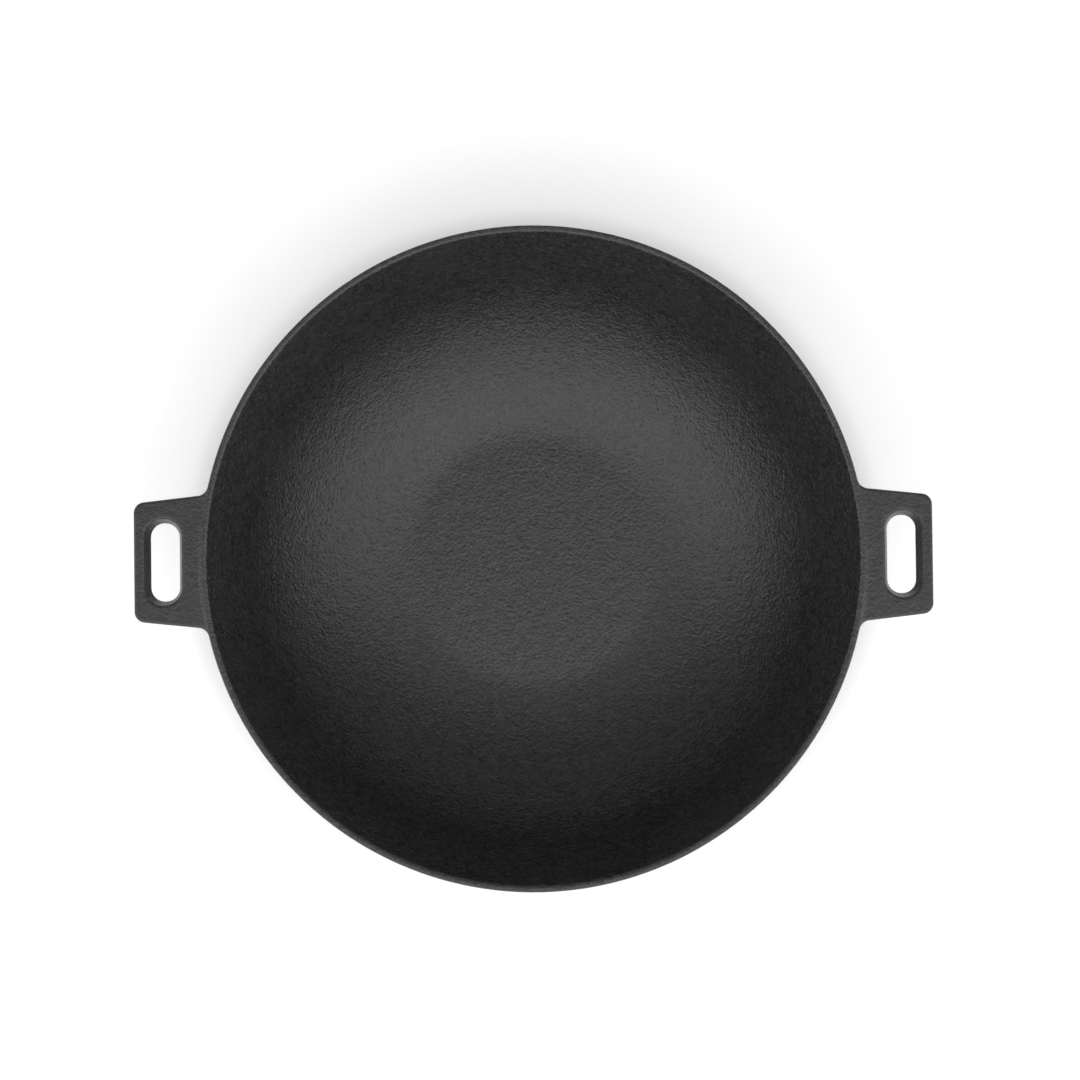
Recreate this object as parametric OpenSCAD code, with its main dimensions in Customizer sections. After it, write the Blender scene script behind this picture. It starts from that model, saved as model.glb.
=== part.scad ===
// Cast iron kadai: a deep round-bottomed pan with two slotted carrying lugs, cast as one piece.
// Millimetres, +Z up. The origin is the centre of the underside of the flat base.

/* [Bowl] */
// Outer diameter of the rim
rim_d = 300; // [240:5:360]
// Overall height, from the standing face to the top of the rim
height = 86; // [75:1:110]
// Diameter of the flat cooking floor
floor_d = 118; // [90:2:140]
// Radius of the curve between the floor and the straight wall, as far as the rim leaves room for it
curve_r = 100; // [60:1:105]
// Slope of the wall where it leaves the floor, degrees
floor_break = 9; // [4:1:14]

/* [Wall] */
// Thickness of the base
base_t = 5; // [4:0.5:7]
// Thickness of the curved wall
wall_t = 4.5; // [3.5:0.25:6]
// Width of the rim from its inner to its outer edge, seen from above
rim_t = 3; // [2.6:0.1:5]
// Radius of the rounded inner edge of the rim
rim_inner_r = 1.2; // [0.8:0.1:1.6]
// Radius of the rounded outer edge of the rim
rim_outer_r = 0.9; // [0.6:0.1:1.1]

/* [Lugs] */
// How far each lug stands out from the rim
lug_reach = 29.8; // [26:0.2:40]
// Width of a lug at its outer end
lug_tip_w = 53.4; // [50:0.2:70]
// Width of a lug at the rim
lug_root_w = 59.8; // [54:0.2:76]
// Thickness of a lug
lug_t = 8; // [6:0.5:12]
// Drop from the rim to the upper face of a lug
lug_drop = 1; // [0.8:0.1:2]
// Corner radius of a lug, seen from above
lug_corner_r = 5; // [3:0.1:6]
// Radius where the sides of a lug run into the rim, seen from above
lug_root_r = 5.6; // [3:0.1:8]
// Radius on the upper and lower edges of a lug
lug_edge_r = 1.3; // [0.6:0.1:1.8]
// Radius of the fillet under a lug, where it meets the wall
under_fillet_r = 7; // [4:0.5:9]
// Width of the sloped fillet on top, between the rim and a lug
top_fillet_w = 1.2; // [0.6:0.1:2]

/* [Lug slot] */
// Width of the slot at its narrowest
slot_w = 12.8; // [10:0.2:14]
// Length of the slot at its narrowest
slot_len = 35.2; // [28:0.2:38]
// Corner radius of the slot at its narrowest, as far as its width leaves room for it
slot_corner_r = 6.2; // [3:0.1:7]
// Metal left between the slot and the outer end of a lug, at the underside
slot_to_tip = 6.9; // [6:0.1:8]
// How far the sloped slot wall leans back on each side
slot_draft = 1.7; // [0.8:0.1:2.2]
// Radius on the upper edge of the slot
slot_top_r = 1.5; // [0.6:0.1:1.8]
// Radius on the lower edge of the slot
slot_low_r = 0.6; // [0.3:0.1:1]

/* [Hidden] */

// Facets of a full turn of the bowl
turn_fn = 180;
// Steps along a plan corner of a lug or its slot
corner_steps = 8;
// Steps along a rounded edge of a lug or its slot
edge_steps = 4;
// Steps along the part of a lug that is buried in the wall
root_steps = 5;
// Steps along the fillet under a lug
under_steps = 5;
// Steps along the side of a lug where it runs into the wall
side_steps = 8;
// How far a fillet cuts into the face that it runs out on, so that the two cross cleanly
bite = 0.12;
// How deep the root of a lug reaches into the wall
root_bury = 2;
// Share of the largest curve that still leaves a straight stretch below the rim
curve_share = 0.97;

rim_r = rim_d / 2;
floor_r = floor_d / 2;
lug_tip_x = rim_r + lug_reach;
lug_top_z = height - lug_drop;
lug_low_z = lug_top_z - lug_t;

// The wall's curve leaves the floor at the slope floor_break. The largest such curve would pass through
// the inner edge of the rim.
floor_end = [floor_r, base_t];
rim_in = [rim_r - rim_t, height];
up = rim_in - floor_end;
curve_limit = up * up / 2 / max(up * [-sin(floor_break), cos(floor_break)], 1);
in_r = min(curve_r, curve_share * curve_limit);

// Centre of the wall's curve, shared by its inner and outer side, as [radius, height]
curve_c = floor_end + in_r * [-sin(floor_break), cos(floor_break)];

// Slope of the line that leaves a circle about curve_c as a tangent and ends at the point p
function tangent_slope(p, r) =
    90 + atan2(p.y - curve_c.y, p.x - curve_c.x) - acos(r / norm(p - curve_c));

// The point where that line touches the circle
function tangent_point(p, r) =
    curve_c + r * [sin(tangent_slope(p, r)), -cos(tangent_slope(p, r))];

wall_in_slope = tangent_slope(rim_in, in_r);
wall_in_start = tangent_point(rim_in, in_r);

// The rounded outer edge of the rim, and the outer wall that runs down from it
rim_edge_c = [rim_r - rim_outer_r, height - rim_outer_r];
out_r = in_r + wall_t;
wall_out_slope = 90 + atan2(rim_edge_c.y - curve_c.y, rim_edge_c.x - curve_c.x)
    - acos((out_r - rim_outer_r) / norm(rim_edge_c - curve_c));
wall_out_normal = [sin(wall_out_slope), -cos(wall_out_slope)];
wall_out_start = curve_c + out_r * wall_out_normal;
wall_out_end = rim_edge_c + rim_outer_r * wall_out_normal;

// Radius of the straight outer wall at the height z
function wall_out_r(z) = wall_out_end.x - (wall_out_end.y - z) / tan(wall_out_slope);

function arc(c, r, from, to, steps) =
    [for (i = [0:steps]) let (a = from + (to - from) * i / steps) c + r * [cos(a), sin(a)]];

function mirrored(points) =
    [for (i = [len(points) - 1:-1:0]) [points[i].x, -points[i].y]];

// Section through the filled bowl: its floor side, curve and straight outer wall
module outer_section() {
    intersection() {
        square([rim_r + 1, height]);
        union() {
            translate(curve_c) circle(r = out_r, $fn = turn_fn);
            polygon([
                [0, 0],
                [curve_c.x, 0],
                curve_c,
                wall_out_start - bite / 2 * wall_out_normal,
                each arc(rim_edge_c, rim_outer_r, wall_out_slope - 90, 90, edge_steps),
                [0, height]
            ]);
        }
    }
}

// Section through the hollow: the floor, the curve, the straight inner wall and the rounded rim edge
module hollow_section() {
    edge_c = rim_in + [rim_inner_r * tan(wall_in_slope / 2), -rim_inner_r];
    edge_wall = edge_c - rim_inner_r * [sin(wall_in_slope), -cos(wall_in_slope)];
    difference() {
        union() {
            intersection() {
                translate([0, base_t]) square([rim_r, height]);
                translate(curve_c) circle(r = in_r, $fn = turn_fn);
            }
            polygon([
                [0, base_t],
                [curve_c.x, base_t],
                curve_c,
                wall_in_start + bite / 2 * [-sin(wall_in_slope), cos(wall_in_slope)],
                edge_wall + bite / 4 * [sin(wall_in_slope), -cos(wall_in_slope)],
                edge_c,
                [edge_c.x, height + 1],
                [0, height + 1]
            ]);
        }
        translate(edge_c) circle(r = rim_inner_r, $fn = 72);
    }
}

module bowl() {
    rotate_extrude($fn = turn_fn) {
        difference() {
            outer_section();
            hollow_section();
        }
    }
}

// Outline of a lug from above, drawn in by inset, where the wall behind it has the radius wall_r.
// It runs from the outer end round the corner and along the tapered side into the wall, and is
// closed by an arc inside the wall.
lug_taper = atan((lug_root_w - lug_tip_w) / 2 / lug_reach);
side_normal = [sin(lug_taper), cos(lug_taper)];
side_offset = side_normal * [lug_tip_x, lug_tip_w / 2];
corner_x = lug_tip_x - lug_corner_r;
corner_c = [corner_x, (side_offset - lug_corner_r - side_normal.x * corner_x) / side_normal.y];

// The point of the side line, drawn in by inset, at a distance from the bowl's axis
function side_at(inset, far) = let (
        out = side_offset - inset
    ) out * side_normal + sqrt(far * far - out * out) * [side_normal.y, -side_normal.x];

function half_lug(inset, wall_r) = let (
        buried_r = wall_r - root_bury,
        root_turn = atan2(side_at(inset, buried_r).y, side_at(inset, buried_r).x)
    ) concat(
        arc(corner_c, lug_corner_r - inset, 0, 90 - lug_taper, corner_steps),
        [for (i = [0:side_steps]) let (from_root = (root_bury + under_fillet_r) * (1 - i / side_steps))
            side_at(inset, buried_r + from_root)],
        [for (i = [1:root_steps]) let (a = root_turn * (1 - i / (root_steps + 1)))
            buried_r * [cos(a), sin(a)]]
    );

function lug_outline(inset, wall_r) = let (
        half = half_lug(inset, wall_r)
    ) concat(half, [[wall_r - root_bury, 0]], mirrored(half));

// Outline of the slot from above, widened by grow, with a point for each point of lug_outline
slot_x = lug_tip_x - slot_to_tip - slot_w / 2;
slot_r = min(slot_corner_r, slot_w / 2 - bite);

function half_slot(grow) = let (
        r = slot_r + grow,
        y = slot_len / 2 - slot_r,
        x = slot_w / 2 - slot_r
    ) concat(
        arc([slot_x + x, y], r, 0, 90, corner_steps),
        arc([slot_x - x, y], r, 90, 180, side_steps),
        [for (i = [1:root_steps]) [slot_x - x - r, y * (1 - i / (root_steps + 1))]]
    );

function slot_outline(grow) = let (
        half = half_slot(grow)
    ) concat(half, [[slot_x - slot_w / 2 - grow, 0]], mirrored(half));

// The underside of a lug sweeps down in a round fillet where it meets the wall. low_drop gives how
// far it lies below lug_low_z at a distance from the bowl's axis.
under_r = wall_out_r(lug_low_z - under_fillet_r) + under_fillet_r / sin(wall_out_slope) - bite;
under_reach = under_fillet_r * sin(wall_out_slope);

function low_drop(far) = let (
        x = min(max(under_r - far, 0), under_reach)
    ) under_fillet_r - sqrt(under_fillet_r * under_fillet_r - x * x);

// The upper face sweeps up to the rim in the same way, in a shallow curve that ends inside the rim
top_share = 0.6;
function top_rise(far) = let (
        x = max(rim_r + top_fillet_w - far, 0) / (top_fillet_w + rim_outer_r)
    ) lug_drop * min(x * x, top_share);

// A rounded edge of radius r as [offset, depth] pairs, from the flat face to the wall beside it
function edge_round(r) = [for (p = arc([0, 0], r, 90, 0, edge_steps)) [r - p.x, r - p.y]];

function reversed(list) = [for (i = [len(list) - 1:-1:0]) list[i]];

// Rings of points. Those on the upper side follow the rise to the rim, and those on the lower side
// the sweep into the wall.
function upper_ring(outline, depth) =
    [for (p = outline) [p.x, p.y, lug_top_z - depth + top_rise(norm(p))]];

function lower_ring(outline, depth) =
    [for (p = outline) [p.x, p.y, lug_low_z + depth - low_drop(norm(p))]];

// The outline at the share from one outline to the other
function between(a, b, share) = [for (i = [0:len(a) - 1]) a[i] + (b[i] - a[i]) * share];

// Shares at which a ring between the slot and the wall meets a radius on the lug's centre line
function share_at(far, near_slot, near_wall) = (near_slot - far) / (near_slot - near_wall);

// One lug: the section of its rail carried round the slot as a closed ring. The rings run up the
// outside, over the upper face, down the sloped slot wall and back along the underside.
module lug() {
    edge = edge_round(lug_edge_r);
    wall_r_low = [for (p = edge) wall_out_r(lug_low_z + p.y - low_drop(0))];
    wall_r_top = [for (p = edge) wall_out_r(lug_top_z - p.y)];
    outside_low = [for (i = [0:edge_steps]) lower_ring(lug_outline(edge[i].x, wall_r_low[i]), edge[i].y)];
    outside_top = [for (i = [0:edge_steps]) upper_ring(lug_outline(edge[i].x, wall_r_top[i]), edge[i].y)];
    slot_top = [for (p = edge_round(slot_top_r)) upper_ring(slot_outline(slot_draft + p.x), p.y)];
    slot_low = [for (p = edge_round(slot_low_r)) lower_ring(slot_outline(p.x), p.y)];

    top_from = lug_outline(lug_edge_r, wall_r_top[0]);
    top_to = slot_outline(slot_draft + slot_top_r);
    top_near = slot_x - slot_w / 2 - slot_draft - slot_top_r;
    upper_face = [for (far = [rim_r, rim_r + top_fillet_w / 2, rim_r + top_fillet_w]) upper_ring(
        between(top_to, top_from, share_at(far, top_near, wall_r_top[0] - root_bury)), 0)];

    low_from = slot_outline(slot_low_r);
    low_to = lug_outline(lug_edge_r, wall_r_low[0]);
    low_near = slot_x - slot_w / 2 - slot_low_r;
    low_far = wall_r_low[0] - root_bury;
    under_face = [for (i = [0:under_steps]) let (
            far = under_r - under_fillet_r * sin(wall_out_slope * i / under_steps)
        ) lower_ring(between(low_from, low_to, share_at(far, low_near, low_far)), 0)];

    rings = concat(
        outside_low, reversed(outside_top), upper_face,
        slot_top, reversed(slot_low), under_face
    );
    round_n = len(rings[0]);
    ring_n = len(rings);
    polyhedron(
        points = [for (ring = rings) each ring],
        faces = [for (j = [0:ring_n - 1], i = [0:round_n - 1]) let (
                a = j * round_n,
                b = (j + 1) % ring_n * round_n,
                k = (i + 1) % round_n
            ) each [[a + i, b + i, b + k], [a + i, b + k, a + k]]],
        convexity = 6
    );
}

// Fillet from above between the side of a lug and the wall, below and above its rounded edges
module root_fillet() {
    low = lug_low_z + lug_edge_r;
    far = wall_out_r(lug_top_z) - bite + lug_root_r;
    out = side_offset - bite + lug_root_r;
    c = out * side_normal + sqrt(far * far - out * out) * [side_normal.y, -side_normal.x];
    side_end = c - lug_root_r * side_normal;
    wall_end = c / norm(c) * (wall_out_r(low) - root_bury / 2);
    translate([0, 0, low]) {
        linear_extrude(lug_t - 2 * lug_edge_r) {
            difference() {
                polygon([c, side_end - side_normal, side_at(1, wall_out_r(low) - root_bury), wall_end]);
                translate(c) circle(r = lug_root_r, $fn = 72);
            }
        }
    }
}

module slotted_lug() {
    lug();
    root_fillet();
    mirror([0, 1, 0]) root_fillet();
}

module kadai() {
    color([0.075, 0.075, 0.078]) {
        rotate(90) bowl();
        slotted_lug();
        rotate(180) slotted_lug();
    }
}

kadai();
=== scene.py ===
"""Looks of a cast iron kadai, a deep pan with two slotted lugs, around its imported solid.

The casting is one closed surface. Its bowl is a section carried round the axis, with a window left
in its wall at each lug. Each lug is a set of grids round its slot, and its outer edges lie on the
edges of the window, so that bowl and lug join in one skin. Sizes are in millimetres in the
calculations and become metres when they go into the mesh.
"""
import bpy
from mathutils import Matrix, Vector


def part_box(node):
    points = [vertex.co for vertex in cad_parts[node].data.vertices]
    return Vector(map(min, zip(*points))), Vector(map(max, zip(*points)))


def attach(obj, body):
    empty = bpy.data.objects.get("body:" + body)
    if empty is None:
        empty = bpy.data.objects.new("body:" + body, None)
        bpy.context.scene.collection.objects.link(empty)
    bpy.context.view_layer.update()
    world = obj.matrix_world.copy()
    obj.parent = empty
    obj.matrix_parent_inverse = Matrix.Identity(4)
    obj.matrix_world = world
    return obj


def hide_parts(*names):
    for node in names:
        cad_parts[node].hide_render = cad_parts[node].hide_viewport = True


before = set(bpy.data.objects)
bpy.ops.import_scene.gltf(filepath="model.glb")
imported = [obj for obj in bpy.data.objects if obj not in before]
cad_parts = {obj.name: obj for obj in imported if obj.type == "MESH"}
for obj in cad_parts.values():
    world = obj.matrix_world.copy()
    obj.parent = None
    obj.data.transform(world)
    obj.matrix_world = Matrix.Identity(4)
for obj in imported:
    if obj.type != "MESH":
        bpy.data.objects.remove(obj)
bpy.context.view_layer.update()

from types import SimpleNamespace

import bmesh
import bpy
import numpy as np
from bpy.props import FloatProperty, FloatVectorProperty, PointerProperty
from bpy.types import Operator, Panel, PropertyGroup
from mathutils import Matrix, Vector

bl_info = {
    "name": "Cast iron kadai",
    "version": (1, 0, 0),
    "blender": (4, 5, 0),
    "location": "3D View > Sidebar > Kadai",
    "description": "Builds the casting of a kadai, its seasoned finish and a plain studio",
    "category": "Add Mesh",
}

CAD_NODE = "kadai"
BODY = "root"
MM = 0.001
# Upper corner of the solid's box, in millimetres
HIGH = np.array(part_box(CAD_NODE)[1]) / MM

# Points nearer than this are one point of the merged skin
MERGE_MM = 0.004
# Bend at which an edge counts as fully worn, in 1/mm
WORN_BEND = 0.35
# Share of that wear that is left on the parts of the rim farthest from the lugs, where no hand holds it
LEAST_WEAR = 0.2
# Width over which the grain of the floor fades into that of the wall, in millimetres
FLOOR_FADE = 14.0
# Width over which the skin of the rim fades into the rougher one of a lug, in millimetres
LUG_FADE = 3.0
# Wave lengths of the casting's sway in millimetres, the waves of each length, and the seed of their draw
SWAY_WAVES = (70.0, 48.0, 33.0, 21.0, 14.0)
WAVES_EACH = 4
SWAY_SEED = 11

# Noise of the skin as wave length in millimetres, detail and roughness: the fine and coarse sand grain,
# and the slow patches and specks of the oil
FINE_NOISE = (1.5, 2.0, 0.6)
COARSE_NOISE = (3.6, 3.0, 0.55)
PATCH_NOISE = (38.0, 5.0, 0.6)
SPECK_NOISE = (5.5, 3.0, 0.7)
# Distance between the pits of the sand, in millimetres
PIT_WAVE = 1.6
# Shares of fine and coarse noise in the grain, and depth of the pits in it
FINE_SHARE, COARSE_SHARE, PIT_SHARE = 0.6, 0.4, 0.15
# Height of the grain, in metres, its share on the walls, and what the floor adds to that share
GRAIN_HEIGHT = 0.0008
WALL_GRAIN, FLOOR_GRAIN = 0.85, 0.4
# Shares of patches and specks in the tone of the oil, and of that tone and of the grain's painted shade and
# glints in its colour
PATCH_SHARE, SPECK_SHARE = 0.6, 0.4
TONE_SHARE, GRAIN_SHADE_SHARE = 0.35, 0.65
# Spans of a noise's values that are stretched to a mask: pits, painted shade and glints of the grain,
# colour, roughness
PIT_SPAN, GRAIN_SHADE_SPAN = (0.05, 0.4), (0.36, 0.64)
COLOUR_SPAN, ROUGH_SPAN = (0.15, 0.85), (0.3, 0.7)
# Span in which specks break up the worn edges, and the share of the wear that is left between them
SCUFF_SPAN, LEAST_SCUFF = (0.35, 0.62), 0.35
# Light of the skin at its darkest and at its palest, as shares of the chosen colour
DARKEST, PALEST = 0.4, 1.6
# Share by which a lug's colour is drawn back from its palest to the darkest
LUG_DARK = 0.3
# Roughness that the patches add or take away, that wear takes away, and that a lug adds
PATCH_ROUGH, WORN_ROUGH, LUG_ROUGH = 0.07, 0.08, 0.09
IRON_IOR = 1.5

# The soft lamps: angle round the pan and angle from straight up in degrees, distance, width and height
# in metres, and glow
LAMPS = (
    (270.0, 53.0, 1.3, 1.4, 1.5, 1.25),
    (203.0, 54.0, 1.3, 1.5, 1.6, 1.5),
    (338.0, 57.0, 1.3, 1.5, 1.9, 1.45),
    (290.0, 12.0, 2.0, 1.1, 1.1, 1.6),
    (90.0, 27.0, 1.8, 2.4, 0.8, 0.75),
)
# Half the side of the floor, in metres, and its colour
FLOOR_HALF = 6.0
FLOOR_COLOUR = (0.8, 0.8, 0.8, 1.0)
WHITE = (1.0, 1.0, 1.0, 1.0)
# Light that the floor adds where it is seen, so that its shadow stays pale
FLOOR_GLOW = 0.36
# Distances from the middle of the pan, in metres, between which that light fades in. Under the pan the
# floor stays dark, a painted shadow that the missing glow leaves there.
PAINTED_SHADOW_FADE = (0.150, 0.172)
# Distances, in metres, between which the floor goes on to white, beyond the reach of the lamps
HORIZON_FROM = (0.7, 3.0)
# Sines of the angles over the horizon between which the white backdrop ends
BACKDROP_TOP = (0.2, 0.5)
# Width of the camera's sensor in millimetres, and the farthest distance that it sees, in metres
SENSOR_WIDTH, CLIP_END = 36.0, 100.0


def length(name, about, default):
    """A size in millimetres that a user may change."""
    return FloatProperty(name=name, description=about, default=default, min=0.0)


class KadaiSizes(PropertyGroup):
    """Sizes of the casting, in millimetres and degrees."""
    rim_d: length("Rim diameter", "Outer diameter of the rim", 300.0)
    height: length("Height", "From the standing face to the top of the rim", float(HIGH[2]))
    floor_d: length("Floor diameter", "Diameter of the flat cooking floor", 118.0)
    curve_r: length("Curve radius", "Radius of the curve between floor and wall", 100.0)
    floor_break: length("Floor break", "Slope of the wall where it leaves the floor, in degrees", 9.0)
    base_t: length("Base thickness", "Thickness of the base", 5.0)
    wall_t: length("Wall thickness", "Thickness of the curved wall", 4.5)
    rim_t: length("Rim width", "Width of the rim from inner to outer edge", 2.7)
    rim_inner_r: length("Inner rim radius", "Radius of the rounded inner edge", 1.8)
    rim_outer_r: length("Outer rim radius", "Radius of the rounded outer edge", 0.9)
    floor_blend_r: length("Floor blend radius", "Radius where the floor runs into the wall", 45.0)
    base_edge_r: length("Base edge radius", "Radius where the standing face meets the wall", 6.0)
    lug_tip_x: length("Lug reach", "From the axis to the outer end of a lug", float(HIGH[0]))
    lug_tip_w: length("Lug tip width", "Width of a lug at its outer end", 53.4)
    lug_root_w: length("Lug root width", "Width of a lug at the rim", 59.8)
    lug_t: length("Lug thickness", "Thickness of a lug", 8.0)
    lug_drop: length("Lug drop", "From the top of the rim down to the upper face of a lug", 1.0)
    lug_corner_r: length("Lug corner radius", "Corner radius of a lug from above", 5.0)
    lug_root_r: length("Lug root radius", "Radius where a lug's sides run into the rim", 5.6)
    lug_edge_r: length("Lug edge radius", "Radius on the upper and lower edges of a lug", 1.3)
    under_r: length("Under fillet", "Radius of the fillet under a lug", 7.0)
    slot_w: length("Slot width", "Width of the slot at its narrowest", 12.8)
    slot_len: length("Slot length", "Length of the slot at its narrowest", 35.2)
    slot_corner_r: length("Slot corner radius", "Corner radius of the slot", 6.2)
    slot_to_tip: length("Slot to tip", "Metal between the slot and the outer end of a lug", 6.9)
    slot_draft: length("Slot draft", "How far the slot's wall leans back on each side", 1.7)
    slot_top_r: length("Slot upper radius", "Radius on the upper edge of the slot", 1.5)
    slot_low_r: length("Slot lower radius", "Radius on the lower edge of the slot", 0.6)
    sway: length("Casting sway", "How far the cast skin strays from its true form", 0.15)


class KadaiFinish(PropertyGroup):
    """Colours and textures of the seasoned iron."""
    iron: FloatVectorProperty(
        name="Iron", description="Colour of the seasoned skin", subtype="COLOR",
        size=4, min=0.0, max=1.0, default=(0.017, 0.017, 0.0174, 1.0))
    worn: FloatVectorProperty(
        name="Worn edge", description="Colour where handling has polished an edge", subtype="COLOR",
        size=4, min=0.0, max=1.0, default=(0.022, 0.0216, 0.0212, 1.0))
    roughness: FloatProperty(
        name="Roughness", description="Roughness of the seasoned skin", subtype="FACTOR",
        min=0.0, max=1.0, default=0.29)


class KadaiStudio(PropertyGroup):
    """The camera, the soft lamps and the even light."""
    aim: FloatVectorProperty(
        name="Aim", description="The point in the plane of the rim that the camera looks at, in millimetres",
        size=2, default=(3.05, 8.05))
    distance: FloatProperty(
        name="Distance", description="From the camera to the aim, in metres", default=1.05,
        min=0.1, unit="LENGTH")
    view_width: FloatProperty(
        name="View width", description="Width of the picture at the aim, in metres", default=0.485,
        min=0.1, unit="LENGTH")
    elevation: FloatProperty(
        name="Elevation", description="Height of the camera over the horizon",
        default=np.radians(89.0), subtype="ANGLE")
    roll: FloatProperty(
        name="Roll", description="How far the camera is turned about its own axis",
        default=np.radians(-0.66), subtype="ANGLE")
    lamp: FloatProperty(name="Lamps", description="Strength of the soft lamps", default=1.0, min=0.0)
    world: FloatProperty(name="World", description="Strength of the even light", default=0.16, min=0.0)


def steps(start, end, count):
    """Evenly spaced values from start to end, with count steps and both ends."""
    return np.linspace(start, end, count + 1)


def arc(centre, radius, start, end, count):
    """Points on a circle about centre, from one angle to another in degrees, one a row."""
    turn = np.radians(steps(start, end, count))
    return np.stack([centre[0] + radius * np.cos(turn), centre[1] + radius * np.sin(turn)], axis=1)


def line(start, end, count):
    """Points on a straight line, one a row."""
    share = steps(0.0, 1.0, count)[:, None]
    return np.asarray(start) + (np.asarray(end) - np.asarray(start)) * share


def grid_faces(rows, columns, closed):
    """Corners of the quads of a grid of points that are numbered row by row.

    A closed grid joins its last column to its first.
    """
    down = np.arange(rows - 1)[:, None] * columns
    across = np.arange(columns if closed else columns - 1)[None, :]
    after = (across + 1) % columns
    return np.stack([down + across, down + after, down + columns + after, down + columns + across],
                    axis=-1).reshape(-1, 4)


def wall_lines(s):
    """The bowl's section in numbers: the curve's centre, and the slope and ends of both straight walls.

    A straight wall leaves its arc as a tangent. The angle between the line from the arc's centre to a
    circle of radius b about the wall's upper end, and the common tangent's normal, has the cosine
    (a - b) / distance, where a is the arc's radius.
    """
    turn = np.radians(s.floor_break)
    rim_r = s.rim_d / 2
    centre = np.array([s.floor_d / 2 - s.curve_r * np.sin(turn), s.base_t + s.curve_r * np.cos(turn)])

    def tangent(upper, a, b):
        """Slope in degrees of the line that touches the arc of radius a and the circle of radius b."""
        reach = upper - centre
        return np.degrees(np.arctan2(reach[1], reach[0]) - np.arccos((a - b) / np.hypot(*reach))) + 90.0

    inner_end = np.array([rim_r - s.rim_t, s.height])
    edge = np.array([rim_r - s.rim_outer_r, s.height - s.rim_outer_r])
    inner = tangent(inner_end, s.curve_r, 0.0)
    outer = tangent(edge, s.curve_r + s.wall_t, s.rim_outer_r)
    inner_edge = inner_end + [s.rim_inner_r * np.tan(np.radians(inner / 2)), -s.rim_inner_r]

    # The blend's circle touches the floor, and the wall's arc from inside
    reach = s.curve_r - s.floor_blend_r
    rise = s.base_t + s.floor_blend_r - centre[1]
    blend = centre + [np.sqrt(reach ** 2 - rise ** 2), rise]
    blend_turn = np.degrees(np.arcsin((blend[0] - centre[0]) / reach))
    return SimpleNamespace(centre=centre, inner=inner, outer=outer, edge=edge, inner_edge=inner_edge,
                           blend=blend, blend_turn=blend_turn)


def outer_normal(w):
    """Outward normal of the straight outer wall, in its section."""
    turn = np.radians(w.outer)
    return np.array([np.sin(turn), -np.cos(turn)])


def fillet_under(s, w):
    """Section of the fillet under a lug: its centre, and the point where it leaves the wall."""
    normal = outer_normal(w)
    wall_top = w.edge + s.rim_outer_r * normal
    centre_z = s.height - s.lug_drop - s.lug_t - s.under_r
    wall_r = wall_top[0] - (wall_top[1] - centre_z) / np.tan(np.radians(w.outer))
    centre = np.array([wall_r + s.under_r / normal[0], centre_z])
    return centre, centre - s.under_r * normal


# Angle of the rim's outer round at which the upper face of a lug leaves it
TOP_LEAVE = 45.0
# Rows of the bowl's section on the floor, the blend, the curve, the straight wall and the rim
FLOOR_ROWS, BLEND_ROWS, ARC_ROWS, WALL_ROWS, EDGE_ROWS = 20, 6, 30, 24, 8
FLAT_ROWS, OUTER_ROWS, BASE_ROWS = 4, 3, 4
# Rows on a lug's side: on each rounded edge, and on the wall between them
SIDE_EDGE, SIDE_WALL = 5, 4
WINDOW_ROWS = 2 * SIDE_EDGE + SIDE_WALL
# Columns of the bowl on half a window, and from one window to the other
WINDOW_HALF = 27
BETWEEN_LUGS = 136
# The straight wall starts this much before its tangent point, in degrees
WALL_EARLY = 0.2


def lug_side(s):
    """Section of a lug's side as (inset, height) pairs, from the upper face to the lower."""
    top = s.height - s.lug_drop
    low = top - s.lug_t
    e = s.lug_edge_r
    upper = arc((0.0, top - e), e, 90.0, 0.0, SIDE_EDGE)
    lower = arc((0.0, low + e), e, 0.0, -90.0, SIDE_EDGE)
    wall = line(upper[-1], lower[0], SIDE_WALL)
    section = np.concatenate([upper, wall[1:-1], lower])
    section[:, 0] = e - section[:, 0]
    return section


def bowl_section(s, w):
    """Section of the bowl as (radius, height) rows.

    It runs from the middle of the floor over the rim and round to the middle of the underside.
    The rows from first to last are those of the window, as many as a lug's side has.
    """
    _, leave = fillet_under(s, w)
    normal = outer_normal(w)
    out_r = s.curve_r + s.wall_t
    inner = [
        line((0.0, s.base_t), (w.blend[0], s.base_t), FLOOR_ROWS)[:-1],
        arc(w.blend, s.floor_blend_r, -90.0, w.blend_turn - 90.0, BLEND_ROWS),
        arc(w.centre, s.curve_r, w.blend_turn - 90.0, w.inner - 90.0 - WALL_EARLY, ARC_ROWS)[1:],
    ]
    inner_edge = arc(w.inner_edge, s.rim_inner_r, 90.0 + w.inner, 90.0, EDGE_ROWS)
    straight = line(inner[-1][-1], inner_edge[0], WALL_ROWS)[1:-1]
    outer_start = arc(w.edge, s.rim_outer_r, 90.0, TOP_LEAVE, OUTER_ROWS)
    flat = line(inner_edge[-1], outer_start[0], FLAT_ROWS)[1:-1]
    upper = inner + [straight, inner_edge, flat, outer_start[:-1]]

    window = np.concatenate([
        arc(w.edge, s.rim_outer_r, TOP_LEAVE, w.outer - 90.0, SIDE_EDGE),
        line(w.edge + s.rim_outer_r * normal, leave, SIDE_WALL + SIDE_EDGE)[1:],
    ])

    wall_low = w.centre + out_r * normal
    below = line(leave, wall_low, WALL_ROWS - WINDOW_ROWS // 2)[1:]
    base_turn, base_c = base_edge(s, w)
    curve = arc(w.centre, out_r, w.outer - 90.0, base_turn - 90.0, ARC_ROWS)[1:]
    edge = arc(base_c, s.base_edge_r, base_turn - 90.0, -90.0, BASE_ROWS)[1:]
    under = line(edge[-1], (0.0, 0.0), FLOOR_ROWS)[1:]
    rows = np.concatenate(upper + [window, below, curve, edge, under])
    first = sum(len(part) for part in upper)
    return rows, first, first + len(window) - 1


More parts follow.
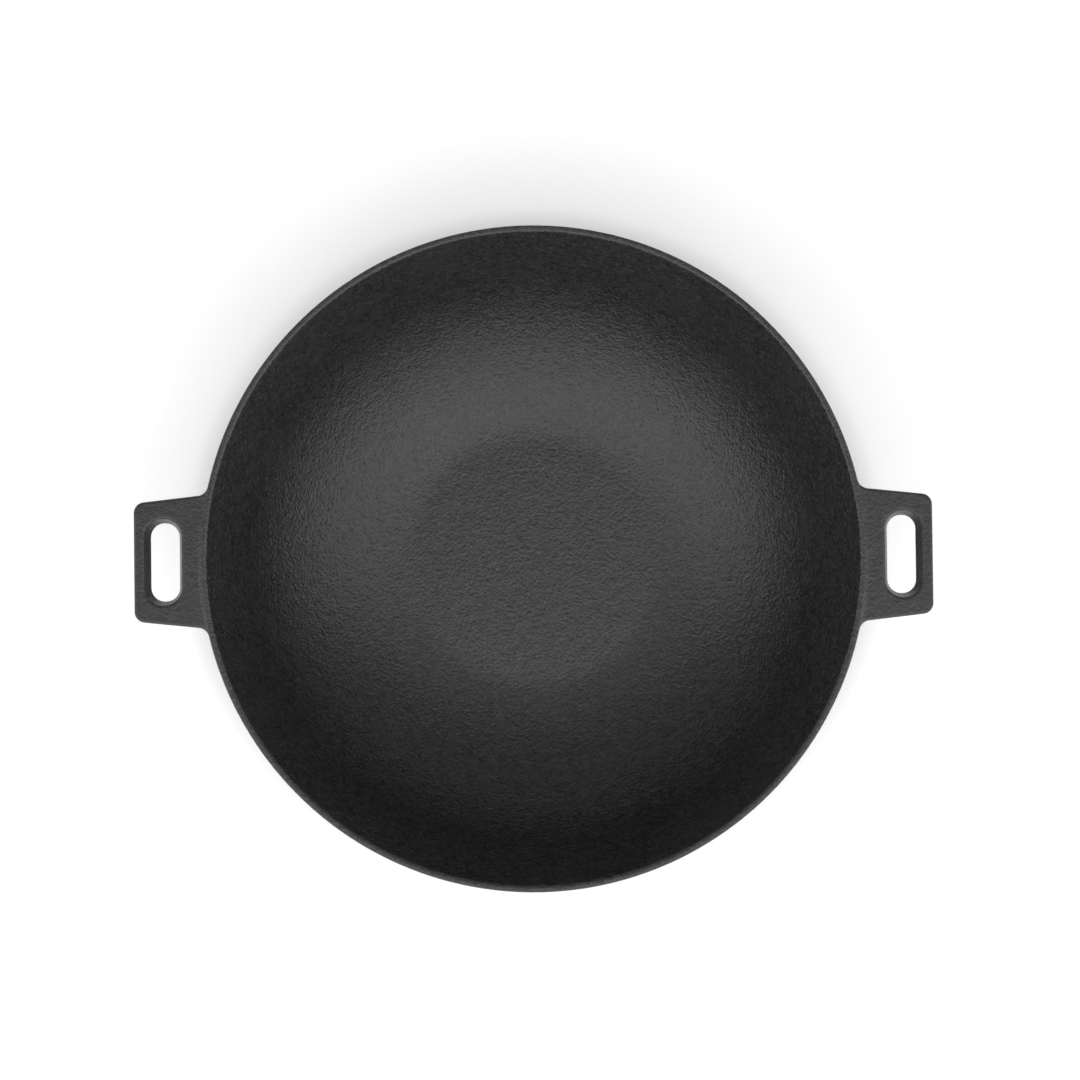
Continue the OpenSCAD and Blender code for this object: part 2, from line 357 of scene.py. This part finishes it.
def base_edge(s, w):
    """The round between the standing face and the outer curve, as the angle of its upper end and its centre.

    The centre lies the round's radius above the standing face, and as far inside the outer arc.
    """
    out_r = s.curve_r + s.wall_t
    down = (w.centre[1] - s.base_edge_r) / (out_r - s.base_edge_r)
    turn = np.degrees(np.arccos(down))
    centre = w.centre + (out_r - s.base_edge_r) * np.array([np.sin(np.radians(turn)), -down])
    return turn, centre


def side_frame(s):
    """A lug's side line: its outward normal, and its distance from the origin along that normal."""
    reach = s.lug_tip_x - s.rim_d / 2
    taper = np.arctan((s.lug_root_w - s.lug_tip_w) / 2 / reach)
    normal = np.array([np.sin(taper), np.cos(taper)])
    return taper, normal, normal @ [s.lug_tip_x, s.lug_tip_w / 2]


def root_centre(s, wall_r):
    """Centre of the root fillet, which touches the side line and a wall circle of radius wall_r."""
    _, normal, offset = side_frame(s)
    out = offset + s.lug_root_r
    far = np.asarray(wall_r) + s.lug_root_r
    along = np.sqrt(far ** 2 - out ** 2)
    return np.stack([out * normal[0] + along * normal[1], out * normal[1] - along * normal[0]], axis=-1)


def root_turn(s, wall_r):
    """Angle about the bowl's axis at which the root fillet meets the wall, in degrees."""
    centre = root_centre(s, wall_r)
    return np.degrees(np.arctan2(centre[..., 1], centre[..., 0]))


# Steps of half a lug's outline along its end, corner, side and root fillet
TIP_STEPS, CORNER_STEPS, SIDE_STEPS, ROOT_STEPS = 5, 10, 10, 20
# Points of the root fillet that face the wall across the narrow cusp between them
CUSP_STEPS = 15


def window_shares(s):
    """Where the bowl has columns in a window, as shares of its half width, from its edge to its middle.

    Those near the edge lie opposite the points of the root fillet, and the others are evenly spaced.
    """
    turn = root_turn(s, s.rim_d / 2)
    bend = (90.0 - np.degrees(side_frame(s)[0]) - turn) / ROOT_STEPS
    along = s.lug_root_r * np.sin(np.radians(bend * np.arange(CUSP_STEPS + 1)))
    cusp = 1.0 - along / (s.rim_d / 2 * np.radians(turn))
    return np.concatenate([cusp, steps(cusp[-1], 0.0, WINDOW_HALF - CUSP_STEPS)[1:]])


def half_side(s, inset, wall_r):
    """Half of a lug's outline from above, from the middle of its outer end to the wall, drawn in by inset.

    A straight end, a corner arc, the tapered side line and a root arc that touches the wall circle.
    The inset fades out along the root arc, so that every row ends on the wall.
    """
    taper, normal, offset = side_frame(s)
    turn = 90.0 - np.degrees(taper)
    corner_x = s.lug_tip_x - s.lug_corner_r
    corner = np.array([corner_x, (offset - s.lug_corner_r - normal[0] * corner_x) / normal[1]])
    round_off = arc(corner, s.lug_corner_r - inset, 0.0, turn, CORNER_STEPS)
    centre = root_centre(s, wall_r)
    angles = np.radians(steps(180.0 + turn, 180.0 + root_turn(s, wall_r), ROOT_STEPS))
    share = steps(0.0, 1.0, ROOT_STEPS)
    radius = s.lug_root_r + inset * (1.0 - share ** 2 * (3.0 - 2.0 * share))
    root = centre + radius[:, None] * np.stack([np.cos(angles), np.sin(angles)], axis=1)
    return np.concatenate([
        line((s.lug_tip_x - inset, 0.0), round_off[0], TIP_STEPS)[:-1],
        round_off,
        line(round_off[-1], root[0], SIDE_STEPS)[1:-1],
        root,
    ])


def half_slot(s, grow):
    """Half of the slot's outline from above, widened by grow, from its outer side to its inner side.

    It has the same number of points as half_side and the window's half edge together, without the cusp.
    """
    x = s.lug_tip_x - s.slot_to_tip - s.slot_w / 2
    half_w, half_l = s.slot_w / 2 - s.slot_corner_r, s.slot_len / 2 - s.slot_corner_r
    r = s.slot_corner_r + grow
    outer = arc((x + half_w, half_l), r, 0.0, 90.0, CORNER_STEPS)
    inner = arc((x - half_w, half_l), r, 90.0, 180.0, ROOT_STEPS - CUSP_STEPS + 1)
    return np.concatenate([
        line((x + half_w + r, 0.0), outer[0], TIP_STEPS)[:-1],
        outer,
        line(outer[-1], inner[0], SIDE_STEPS)[1:-1],
        inner,
        line(inner[-1], (x - half_w - r, 0.0), WINDOW_HALF - CUSP_STEPS)[1:],
    ])


def full_loop(half):
    """The closed outline of a half and its mirror image in y. Its ends lie on y = 0 and aren't repeated."""
    mirror = half[-2:0:-1] * [1.0, -1.0]
    return np.concatenate([half, mirror])


def both_sides(half):
    """The open outline of a half and its mirror image in y, joined at its first point."""
    return np.concatenate([half[:0:-1] * [1.0, -1.0], half])


def low_drop(s, w, far):
    """How far the underside of a lug lies below its plane at a distance from the axis.

    Part of a circle that starts level and ends where it touches the sloped wall.
    """
    centre, leave = fillet_under(s, w)
    x = np.clip(centre[0] - far, 0.0, centre[0] - leave[0])
    return s.under_r - np.sqrt(s.under_r ** 2 - x ** 2)


def top_rise(s, w, far):
    """How far the upper face of a lug lies above its plane at a distance from the axis.

    A parabola that starts level and meets the rim's outer round where that falls at TOP_LEAVE.
    """
    turn = np.radians(TOP_LEAVE)
    end_r = w.edge[0] + s.rim_outer_r * np.cos(turn)
    rise = w.edge[1] + s.rim_outer_r * np.sin(turn) - (s.height - s.lug_drop)
    reach = 2.0 * rise / np.tan(turn)
    x = np.clip((end_r + reach - far) / reach, 0.0, 1.0)
    return rise * x ** 2


def between(inside, outside, shares):
    """Outlines at shares of the way from one outline to another, as a grid with a row for each share."""
    shares = np.asarray(shares)[:, None, None]
    return inside[None] + (outside - inside)[None] * shares


# Shares of the way from the slot to a lug's outline at which its faces have a row
TOP_SHARES = (0.0, 0.15, 0.3, 0.45, 0.6, 0.7, 0.78, 0.84, 0.89, 0.93, 0.97, 1.0)
LOW_SHARES = (0.0, 0.15, 0.3, 0.42, 0.52, 0.6, 0.68, 0.76, 0.84, 0.92, 1.0)
# Rows of the slot on its upper round, its wall and its lower round
SLOT_EDGE, SLOT_WALL, SLOT_FOOT = 6, 6, 4


def slot_section(s):
    """Section of the slot's wall as (grow, height) pairs: upper round, sloped wall and lower round."""
    top = s.height - s.lug_drop
    low = top - s.lug_t
    upper = arc((s.slot_draft + s.slot_top_r, top - s.slot_top_r), s.slot_top_r, 90.0, 180.0, SLOT_EDGE)
    lower = arc((s.slot_low_r, low + s.slot_low_r), s.slot_low_r, 180.0, 270.0, SLOT_FOOT)
    return np.concatenate([upper, line(upper[-1], lower[0], SLOT_WALL)[1:-1], lower])


def lug_grids(s, w, rows, first, last):
    """The grids of the lug on +X, each as (points by row and column, closed).

    Side: half outlines at each level, whose heights slide to those of the window's rows at the wall.
    Upper and lower face: between the slot and the outline, with a strip in each cusp between the root
    fillet and the wall. Slot: its outline at each level.
    """
    side = lug_side(s)
    window = rows[first:last + 1]
    level = steps(0.0, 1.0, len(side) - 1)
    rise_end, drop_end = top_rise(s, w, 0.0), low_drop(s, w, 0.0)
    walls = []
    for (inset, z), (wall_r, wall_z), share in zip(side, window, level):
        plan = half_side(s, inset, wall_r)
        off_wall = np.hypot(plan[:, 0], plan[:, 1]) - wall_r
        rise = top_rise(s, w, window[0][0] + off_wall) / rise_end
        drop = low_drop(s, w, window[-1][0] + off_wall) / drop_end
        # Upper levels follow the face's rise to the rim, and lower levels the fillet down to the wall
        slide = (1.0 - share) * rise + share * drop
        height = z + (wall_z - z) * slide
        walls.append(np.column_stack([both_sides(plan), np.concatenate([height[:0:-1], height])]))
    walls = np.stack(walls)

    def raised(plan, plane, lift):
        """Points of a plan at the height of a face."""
        height = plane + lift(np.hypot(plan[..., 0], plan[..., 1]))
        return np.concatenate([plan, height[..., None]], axis=-1)

    def face(slot_half, side_row, wall_row, shares, plane, lift):
        """The grid round the slot, and the strips in both cusps."""
        turn = np.radians(root_turn(s, wall_row[0]) * window_shares(s))
        edge = wall_row[0] * np.stack([np.cos(turn), np.sin(turn)], axis=1)
        outline = half_side(s, side_row[0], wall_row[0])
        short = np.concatenate([outline[:-CUSP_STEPS], edge[CUSP_STEPS:]])
        cusp = np.stack([outline[-1 - CUSP_STEPS:], edge[CUSP_STEPS::-1]])
        round_slot = between(full_loop(slot_half), full_loop(short), shares)
        return [(raised(round_slot, plane, lift), True), (raised(cusp, plane, lift), False),
                (raised(cusp * [1.0, -1.0], plane, lift), False)]

    top = s.height - s.lug_drop
    low = top - s.lug_t
    section = slot_section(s)
    upper = face(half_slot(s, section[0][0]), side[0], window[0], TOP_SHARES, top,
                 lambda far: top_rise(s, w, far))
    lower = face(half_slot(s, section[-1][0]), side[-1], window[-1], LOW_SHARES, low,
                 lambda far: -low_drop(s, w, far))
    around = 2 * len(half_slot(s, 0.0)) - 2
    slot = np.stack([
        np.column_stack([full_loop(half_slot(s, grow)), np.full(around, z)]) for grow, z in section])
    return [(walls, False), *upper, *lower, (slot, True)]


def bowl_grid(s, rows, first, last):
    """Points of the bowl by row and column.

    A column is an angle. Columns are evenly spaced between the edges of the windows, whose angle
    changes a little with the radius of the wall.
    """
    held = np.clip(np.arange(len(rows)), first, last)
    edge = root_turn(s, rows[held, 0])
    shares = window_shares(s)
    window = np.concatenate([-shares, shares[-2:0:-1]])
    gap = np.arange(BETWEEN_LUGS) / BETWEEN_LUGS
    half = np.concatenate([
        edge[:, None] * window, edge[:, None] + (180.0 - 2 * edge[:, None]) * gap], axis=1)
    turn = np.radians(np.concatenate([half, half + 180.0], axis=1))
    r, z = rows[:, :1], rows[:, 1:]
    return np.stack([r * np.cos(turn), r * np.sin(turn), z + 0 * turn], axis=-1)


def casting_sway(points, size):
    """A slow wandering of the skin, inwards only, of at most size.

    A sum of sine waves of 14 to 70 mm in random directions, longer ones higher, between -1 and 0.
    """
    rng = np.random.default_rng(SWAY_SEED)
    total, reach = np.zeros(len(points)), 0.0
    for wave in SWAY_WAVES:
        for _ in range(WAVES_EACH):
            way = rng.normal(size=3)
            way *= 2 * np.pi / wave / np.linalg.norm(way)
            total += wave * np.sin(points @ way + rng.uniform(0, 2 * np.pi))
            reach += wave
    return size * (total / reach - 1.0) / 2.0


def casting_mesh(s):
    """The whole casting as points in millimetres and faces, with the grids' shared edges still doubled."""
    w = wall_lines(s)
    rows, first, last = bowl_section(s, w)
    bowl = bowl_grid(s, rows, first, last)
    count, columns = bowl.shape[:2]
    faces = grid_faces(count, columns, True).reshape(count - 1, columns, 4)
    keep = np.ones((count - 1, columns), bool)
    for start in (0, columns // 2):
        keep[first:last, start:start + 2 * WINDOW_HALF] = False
    points, quads = [bowl.reshape(-1, 3)], [faces[keep]]
    total = len(points[0])
    for grid, closed in lug_grids(s, w, rows, first, last):
        for sign in (1.0, -1.0):
            points.append(grid.reshape(-1, 3) * [sign, sign, 1.0])
            quads.append(grid_faces(grid.shape[0], grid.shape[1], closed) + total)
            total += len(points[-1])
    return np.concatenate(points), np.concatenate(quads)


def fill_mesh(name, points, quads):
    """A mesh object from points in millimetres, with shared edges merged and faces turned outwards."""
    mesh = bpy.data.meshes.new(name)
    mesh.from_pydata(points * MM, [], quads.tolist())
    joined = bmesh.new()
    joined.from_mesh(mesh)
    bmesh.ops.remove_doubles(joined, verts=joined.verts, dist=MERGE_MM * MM)
    bmesh.ops.recalc_face_normals(joined, faces=joined.faces)
    joined.to_mesh(mesh)
    joined.free()
    mesh.shade_smooth()
    piece = bpy.data.objects.new(name, mesh)
    bpy.context.scene.collection.objects.link(piece)
    return piece


def read_points(mesh, kind):
    """Coordinates ("co") or unit normals ("normal") of a mesh's points, one a row."""
    values = np.empty(len(mesh.vertices) * 3, np.float32)
    mesh.vertices.foreach_get(kind, values)
    return values.reshape(-1, 3).astype(float)


def convexity(mesh):
    """How sharply the skin bends outwards at each point, in 1/mm.

    The mean, over a point's edges, of (change of normal . change of place) / length squared.
    """
    ends = np.empty(len(mesh.edges) * 2, np.int32)
    mesh.edges.foreach_get("vertices", ends)
    a, b = ends.reshape(-1, 2).T
    places, normals = read_points(mesh, "co") / MM, read_points(mesh, "normal")
    step = places[a] - places[b]
    bend = np.sum((normals[a] - normals[b]) * step, axis=1) / np.sum(step * step, axis=1)
    count = len(mesh.vertices)
    total = np.bincount(a, bend, count) + np.bincount(b, bend, count)
    return total / np.maximum(np.bincount(ends, minlength=count), 1)


def add_mask(mesh, name, values):
    """Stores a value from 0 to 1 for each point of a mesh, under a name that its material reads."""
    mask = mesh.attributes.new(name, "FLOAT", "POINT")
    mask.data.foreach_set("value", np.clip(values, 0.0, 1.0).astype(np.float32))


class KADAI_OT_casting(Operator):
    """Build the one-piece casting: bowl, rim and both slotted lugs in one skin"""
    bl_idname = "kadai.casting"
    bl_label = "Casting"

    def execute(self, context):
        s = context.scene.kadai_sizes
        piece = fill_mesh("kadai_casting", *casting_mesh(s))
        mesh = piece.data
        places, normals = read_points(mesh, "co"), read_points(mesh, "normal")
        radius = np.hypot(places[:, 0], places[:, 1]) / MM
        held = LEAST_WEAR + (1.0 - LEAST_WEAR) * np.abs(places[:, 0]) / MM / np.maximum(radius, 1.0)
        add_mask(mesh, "worn", convexity(mesh) / WORN_BEND * held)
        add_mask(mesh, "lug", (radius - s.rim_d / 2) / LUG_FADE)
        inside = (normals[:, 2] > 0) & (places[:, 2] / MM < s.base_t + s.wall_t)
        add_mask(mesh, "floor", np.where(inside, (s.floor_d / 2 - radius) / FLOOR_FADE + 0.5, 0.0))
        moved = places + normals * casting_sway(places / MM, s.sway)[:, None] * MM
        mesh.vertices.foreach_set("co", moved.astype(np.float32).ravel())
        mesh.update()
        mesh.materials.append(iron_material(context.scene.kadai_finish))
        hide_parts(CAD_NODE)
        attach(piece, BODY)
        return {"FINISHED"}


# Places of the share and the two colours among a Mix node's inputs, and of the colour among its outputs
COLOUR_MIX = (0, 6, 7)
MIXED_COLOUR = 2


class NodeTree:
    """A short way to add nodes to a shader and join them."""

    def __init__(self, tree):
        self.tree = tree
        tree.nodes.clear()

    def add(self, kind, settings=None, **inputs):
        """A node of a kind, with its settings and its inputs by name. An input is a value or a socket."""
        node = self.tree.nodes.new(kind)
        for name, value in (settings or {}).items():
            setattr(node, name, value)
        for name, value in inputs.items():
            self.feed(node.inputs[name.replace("_", " ")], value)
        return node

    def feed(self, socket, value):
        """Sets an input to a value, or joins another node's output to it."""
        if isinstance(value, bpy.types.NodeSocket):
            self.tree.links.new(value, socket)
        else:
            socket.default_value = value

    def math(self, operation, first, second=0.0):
        """The result of a sum, a product or the like of two values."""
        node = self.add("ShaderNodeMath", {"operation": operation})
        self.feed(node.inputs[0], first)
        self.feed(node.inputs[1], second)
        return node.outputs[0]

    def weighted(self, first, first_share, second, second_share):
        """The sum of two values, each times its share."""
        return self.math("ADD", self.math("MULTIPLY", first, first_share),
                         self.math("MULTIPLY", second, second_share))

    def mask(self, name):
        """A value that the mesh stores for each point."""
        return self.add("ShaderNodeAttribute", {"attribute_name": name}).outputs["Fac"]

    def spread(self, value, low, high, to_low=0.0, to_high=1.0):
        """A value carried from one span to another and held at its ends."""
        node = self.add("ShaderNodeMapRange", {"clamp": True}, Value=value, From_Min=low, From_Max=high,
                        To_Min=to_low, To_Max=to_high)
        return node.outputs["Result"]

    def noise(self, place, wave_mm, detail, rough):
        """Noise whose coarsest features measure about wave_mm."""
        node = self.add("ShaderNodeTexNoise", Vector=place, Scale=1.0 / (wave_mm * MM), Detail=detail,
                        Roughness=rough)
        return node.outputs["Fac"]

    def blend(self, share, first, second):
        """A colour between two colours."""
        node = self.add("ShaderNodeMix", {"data_type": "RGBA"})
        for place, value in zip(COLOUR_MIX, (share, first, second)):
            self.feed(node.inputs[place], value)
        return node.outputs[MIXED_COLOUR]


def scaled(colour, share):
    """A colour with its light scaled by share."""
    return (*(value * share for value in colour[:3]), 1.0)


def iron_material(finish):
    """Seasoned cast iron: a sand-cast grain under a baked oil skin, worn paler along its edges.

    The floor carries a deeper grain than the walls. Slow patches and specks change the colour and the
    gloss of the oil skin, which is darker and rougher on the lugs. The colour also follows the grain, as
    painted shade in its hollows and painted glints on its rises.
    """
    material = bpy.data.materials.new("seasoned_iron")
    material.use_nodes = True
    n = NodeTree(material.node_tree)
    place = n.add("ShaderNodeTexCoord").outputs["Object"]
    worn, floor, lug = n.mask("worn"), n.mask("floor"), n.mask("lug")

    fine = n.noise(place, *FINE_NOISE)
    coarse = n.noise(place, *COARSE_NOISE)
    patch = n.noise(place, *PATCH_NOISE)
    speck = n.noise(place, *SPECK_NOISE)
    pit = n.add("ShaderNodeTexVoronoi", Vector=place, Scale=1.0 / (PIT_WAVE * MM)).outputs["Distance"]

    # The grain is deeper on the floor, and the pits are cut into it
    grain = n.weighted(fine, FINE_SHARE, coarse, COARSE_SHARE)
    pitted = n.math("ADD", grain, n.math("MULTIPLY", n.spread(pit, *PIT_SPAN), PIT_SHARE))
    depth = n.math("ADD", WALL_GRAIN, n.math("MULTIPLY", floor, FLOOR_GRAIN))
    height = n.math("MULTIPLY", pitted, depth)
    bump = n.add("ShaderNodeBump", Strength=1.0, Distance=GRAIN_HEIGHT, Height=height)

    # The colour of the oil follows its patches, and the grain as painted shade in its hollows and painted
    # glints on its rises. It is darker on a lug, and paler where worn
    tone = n.weighted(patch, PATCH_SHARE, speck, SPECK_SHARE)
    # Painted shade in the grain's hollows and painted glints on its rises, mixed with the oil's own tone
    tone_and_grain_shade = n.weighted(tone, TONE_SHARE, n.spread(grain, *GRAIN_SHADE_SPAN), GRAIN_SHADE_SHARE)
    dimmed = n.math("SUBTRACT", 1.0, n.math("MULTIPLY", lug, LUG_DARK))
    pale = n.math("MULTIPLY", n.spread(tone_and_grain_shade, *COLOUR_SPAN), dimmed)
    skin = n.blend(pale, scaled(finish.iron, DARKEST), scaled(finish.iron, PALEST))
    scuffed = n.math("MULTIPLY", worn, n.spread(speck, *SCUFF_SPAN, LEAST_SCUFF, 1.0))
    colour = n.blend(scuffed, skin, tuple(finish.worn))

    least, most = finish.roughness - PATCH_ROUGH, finish.roughness + PATCH_ROUGH
    rough = n.spread(tone, *ROUGH_SPAN, least, most)
    rough = n.math("SUBTRACT", rough, n.math("MULTIPLY", scuffed, WORN_ROUGH))
    rough = n.math("ADD", rough, n.math("MULTIPLY", lug, LUG_ROUGH))

    shader = n.add("ShaderNodeBsdfPrincipled", Base_Color=colour, Roughness=rough,
                   IOR=IRON_IOR, Normal=bump.outputs["Normal"])
    n.add("ShaderNodeOutputMaterial", Surface=shader.outputs["BSDF"])
    return material


def floor_material(colour):
    """Pale matt floor that keeps the shadow of the pan.

    To the camera and to reflections it glows too: a little round the pan, and to white far from it. Under
    the pan it doesn't glow, which leaves a painted shadow there.
    """
    material = bpy.data.materials.new("studio_floor")
    material.use_nodes = True
    n = NodeTree(material.node_tree)
    seen = seen_directly(n)
    matt = n.add("ShaderNodeBsdfDiffuse", Color=colour)
    place = n.add("ShaderNodeTexCoord").outputs["Object"]
    far = n.add("ShaderNodeVectorMath", {"operation": "LENGTH"}, Vector=place).outputs["Value"]
    # No glow under the pan: a painted shadow, which fades out between these distances round the rim
    near = n.spread(far, *PAINTED_SHADOW_FADE, 0.0, FLOOR_GLOW)
    level = n.math("ADD", near, n.spread(far, *HORIZON_FROM, 0.0, 1.0 - FLOOR_GLOW))
    level = n.math("MULTIPLY", seen, level)
    glow = n.add("ShaderNodeEmission", Color=WHITE, Strength=level)
    both = n.add("ShaderNodeAddShader")
    n.tree.links.new(matt.outputs[0], both.inputs[0])
    n.tree.links.new(glow.outputs[0], both.inputs[1])
    n.add("ShaderNodeOutputMaterial", Surface=both.outputs[0])
    return material


def seen_directly(n):
    """1 for rays from the camera, a mirror or glass, and 0 for the light that falls on things."""
    path = n.add("ShaderNodeLightPath").outputs
    either = n.math("MAXIMUM", path["Is Camera Ray"], path["Is Glossy Ray"])
    return n.math("MAXIMUM", either, path["Is Transmission Ray"])


class KADAI_OT_studio(Operator):
    """Set up the pale floor, the soft lamps and the camera above the pan"""
    bl_idname = "kadai.studio"
    bl_label = "Studio"

    def execute(self, context):
        studio = context.scene.kadai_studio
        self.floor()
        for azimuth, zenith, distance, width, height, glow in LAMPS:
            self.lamp(azimuth, zenith, distance, (width, height), glow * studio.lamp)
        self.world(context.scene, studio.world)
        self.camera(context.scene, studio)
        return {"FINISHED"}

    def floor(self):
        """A square floor that the pan stands on."""
        corners = FLOOR_HALF * np.array([(-1, -1, 0), (1, -1, 0), (1, 1, 0), (-1, 1, 0)], float)
        mesh = bpy.data.meshes.new("studio_floor")
        mesh.from_pydata(corners, [], [(0, 1, 2, 3)])
        mesh.materials.append(floor_material(FLOOR_COLOUR))
        sheet = bpy.data.objects.new("studio_floor", mesh)
        bpy.context.scene.collection.objects.link(sheet)

    def lamp(self, azimuth, zenith, distance, sides, glow):
        """A soft lamp that faces the middle of the rim, placed by two angles in degrees."""
        turn, tilt = np.radians(azimuth), np.radians(zenith)
        way = Vector((np.cos(turn) * np.sin(tilt), np.sin(turn) * np.sin(tilt), np.cos(tilt)))
        data = bpy.data.lights.new("soft_lamp", "AREA")
        data.shape = "RECTANGLE"
        data.size, data.size_y = sides
        data.energy = glow * np.pi * data.size * data.size_y
        lamp = bpy.data.objects.new("soft_lamp", data)
        lamp.location = way * distance + Vector((0, 0, HIGH[2] * MM))
        lamp.rotation_euler = way.to_track_quat("Z", "Y").to_euler()
        lamp.visible_camera = False
        bpy.context.scene.collection.objects.link(lamp)

    def world(self, scene, strength):
        """Even dim light. The camera, reflections and glass see a white backdrop round the horizon."""
        scene.world = bpy.data.worlds.new("studio")
        scene.world.use_nodes = True
        n = NodeTree(scene.world.node_tree)
        way = n.add("ShaderNodeTexCoord").outputs["Generated"]
        up = n.add("ShaderNodeSeparateXYZ", Vector=way).outputs["Z"]
        backdrop = n.spread(up, *BACKDROP_TOP, 1.0, strength)
        level = n.math("MULTIPLY", seen_directly(n), n.math("SUBTRACT", backdrop, strength))
        level = n.math("ADD", level, strength)
        sky = n.add("ShaderNodeBackground", Color=WHITE, Strength=level)
        n.add("ShaderNodeOutputWorld", Surface=sky.outputs[0])

    def camera(self, scene, studio):
        """A camera that looks down on the rim, with the far side of the pan at the top of the picture."""
        lift = studio.elevation
        back = Vector((0.0, -np.cos(lift), np.sin(lift)))
        data = bpy.data.cameras.new("camera")
        data.sensor_width = SENSOR_WIDTH
        data.lens = data.sensor_width * studio.distance / studio.view_width
        data.clip_end = CLIP_END
        view = bpy.data.objects.new("camera", data)
        turn = back.to_track_quat("Z", "Y").to_matrix().to_4x4() @ Matrix.Rotation(studio.roll, 4, "Z")
        aim = Vector((*studio.aim, HIGH[2])) * MM
        view.matrix_world = Matrix.Translation(aim + back * studio.distance) @ turn
        scene.collection.objects.link(view)
        scene.camera = view
        scene.view_settings.view_transform = "Standard"


class KADAI_PT_panel(Panel):
    """Lists the steps that build the kadai and its studio"""
    bl_idname = "KADAI_PT_panel"
    bl_label = "Kadai"
    bl_space_type = "VIEW_3D"
    bl_region_type = "UI"
    bl_category = "Kadai"

    def draw(self, context):
        for group in (context.scene.kadai_sizes, context.scene.kadai_finish, context.scene.kadai_studio):
            box = self.layout.box()
            for name in group.bl_rna.properties.keys():
                if name not in ("rna_type", "name"):
                    box.prop(group, name)
        for step in (KADAI_OT_casting, KADAI_OT_studio):
            self.layout.operator(step.bl_idname)


CLASSES = (KadaiSizes, KadaiFinish, KadaiStudio, KADAI_OT_casting, KADAI_OT_studio, KADAI_PT_panel)


def register():
    """Adds the classes, and their values to each scene."""
    for item in CLASSES:
        bpy.utils.register_class(item)
    bpy.types.Scene.kadai_sizes = PointerProperty(type=KadaiSizes)
    bpy.types.Scene.kadai_finish = PointerProperty(type=KadaiFinish)
    bpy.types.Scene.kadai_studio = PointerProperty(type=KadaiStudio)


def unregister():
    """Takes away what register added, the other way round."""
    del bpy.types.Scene.kadai_studio
    del bpy.types.Scene.kadai_finish
    del bpy.types.Scene.kadai_sizes
    for item in reversed(CLASSES):
        bpy.utils.unregister_class(item)


def main():
    """Registers the classes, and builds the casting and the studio."""
    register()
    bpy.ops.kadai.casting()
    bpy.ops.kadai.studio()


if __name__ == "__main__":
    main()
